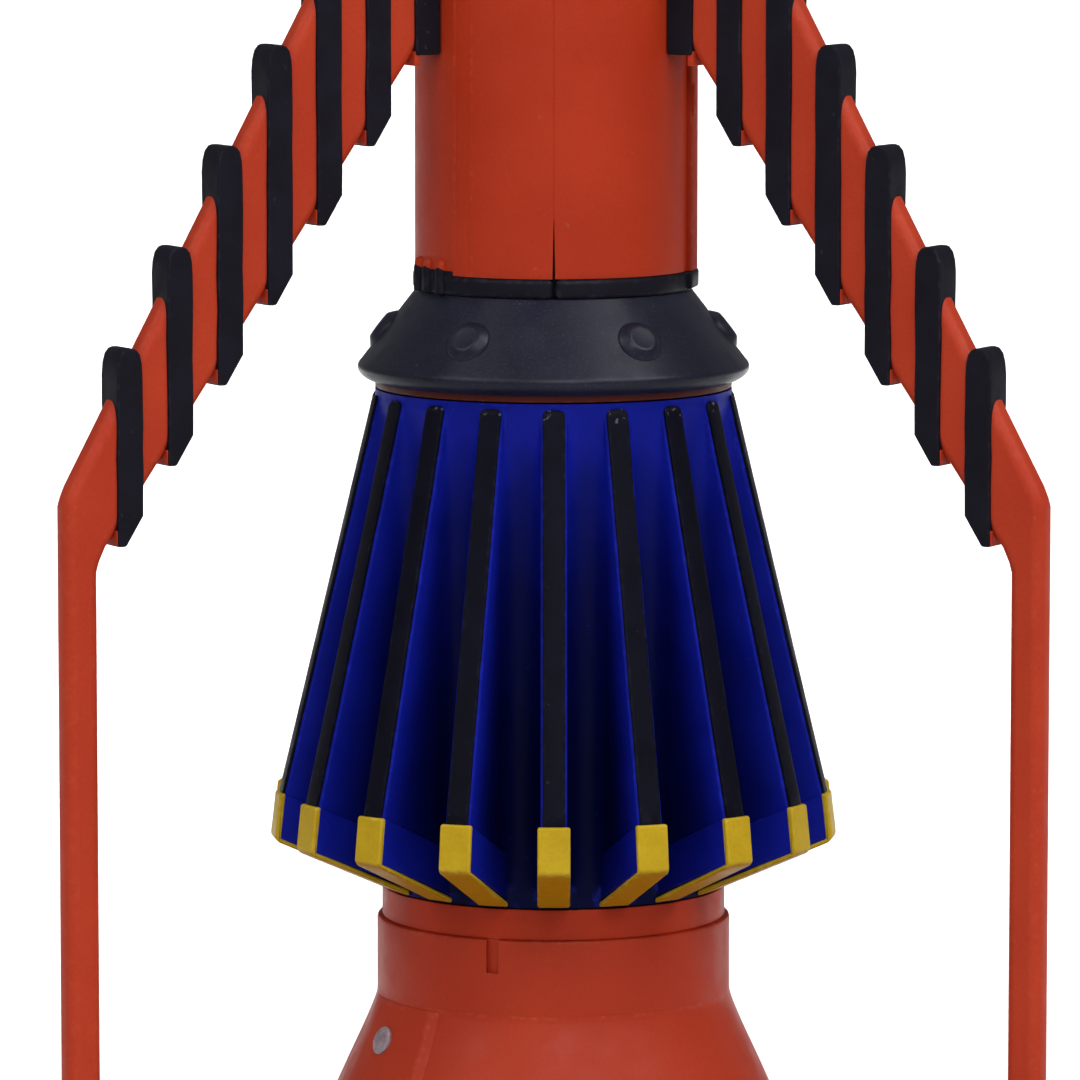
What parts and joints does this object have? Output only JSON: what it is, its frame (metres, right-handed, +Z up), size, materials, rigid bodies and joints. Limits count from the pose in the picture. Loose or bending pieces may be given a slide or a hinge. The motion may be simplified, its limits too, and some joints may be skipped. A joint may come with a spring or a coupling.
{
  "type": "dust blower",
  "caption": "Rocket-shaped stand-up dust blower: squeeze bulb hung between banded legs, fluted twist coupling, tube body and soft nozzle.",
  "frame": {"origin": "on the central axis, at the height of the desk under the foot pads", "axes": "+Z up along the axis towards the nozzle, -Y towards the front seam of the body tube, +X to the right"},
  "size_m": [0.0824, 0.0827, 0.236],
  "materials": {
    "painted_body": "satin orange-red paint over moulded plastic",
    "band_black": "matt near-black paint over moulded plastic",
    "collar_navy": "satin dark navy paint with a faint metallic fleck",
    "coupling_blue": "semi-gloss royal blue paint",
    "tip_yellow": "semi-gloss golden yellow paint",
    "bulb_rubber": "satin orange-red moulded rubber",
    "black_rubber": "soft matt black rubber",
    "inner_plastic": "natural moulded plastic",
    "steel": "plain steel",
    "filter_felt": "pressed felt"
  },
  "bodies": {
    "stand": {"foot_pads": "black_rubber", "stand_ring": "painted_body", "leg_left": "painted_body", "leg_right": "painted_body", "leg_rear": "painted_body", "bands_left": "band_black", "bands_right": "band_black", "bands_rear": "band_black", "leg_screws": "steel", "squeeze_bulb": "bulb_rubber", "shoulder_pad": "bulb_rubber", "pad_rivet": "steel", "neck_spindle": "inner_plastic", "neck_sleeve": "painted_body", "spacer_ring": "painted_body", "flared_collar": "collar_navy", "collar_studs": "collar_navy", "clamp_ring": "band_black", "shell_left": "painted_body", "shell_right": "painted_body", "side_rail": "painted_body", "valve_seat": "inner_plastic", "valve_guide": "inner_plastic", "filter_disc": "filter_felt", "air_tube": "inner_plastic", "nose_ring": "band_black", "nose_cone": "painted_body", "nozzle_stem": "steel", "stem_nut": "band_black"},
    "bulb_base": {"base_plug": "black_rubber", "intake_retainer": "steel"},
    "intake_valve": {"intake_disc": "inner_plastic"},
    "outlet_valve": {"outlet_disc": "inner_plastic"},
    "coupling": {"fluted_skirt": "coupling_blue", "rib_strips": "band_black", "rib_tips": "tip_yellow", "skirt_bush": "inner_plastic"},
    "nozzle": {"nozzle_tip": "black_rubber", "stem_seal": "black_rubber"}
  },
  "joints": [
    {"name": "bulb_press", "type": "slide", "parent": "stand", "child": "bulb_base", "axis": [0, 0, 1], "range_m": [0, 0.014], "stiffness_N_per_m": 900, "springref_m": -0.001, "deforming": ["squeeze_bulb"]},
    {"name": "intake_lift", "type": "slide", "parent": "bulb_base", "child": "intake_valve", "axis": [0, 0, 1], "range_m": [0, 0.001]},
    {"name": "outlet_lift", "type": "slide", "parent": "stand", "child": "outlet_valve", "axis": [0, 0, 1], "range_m": [0, 0.0015]},
    {"name": "coupling_twist", "type": "hinge", "parent": "stand", "child": "coupling", "pos_m": [0, 0, 0.084], "axis": [0, 0, 1], "range_deg": [0, 40]},
    {"name": "nozzle_pull", "type": "slide", "parent": "stand", "child": "nozzle", "axis": [0, 0, 1], "range_m": [0, 0.018]}
  ]
}
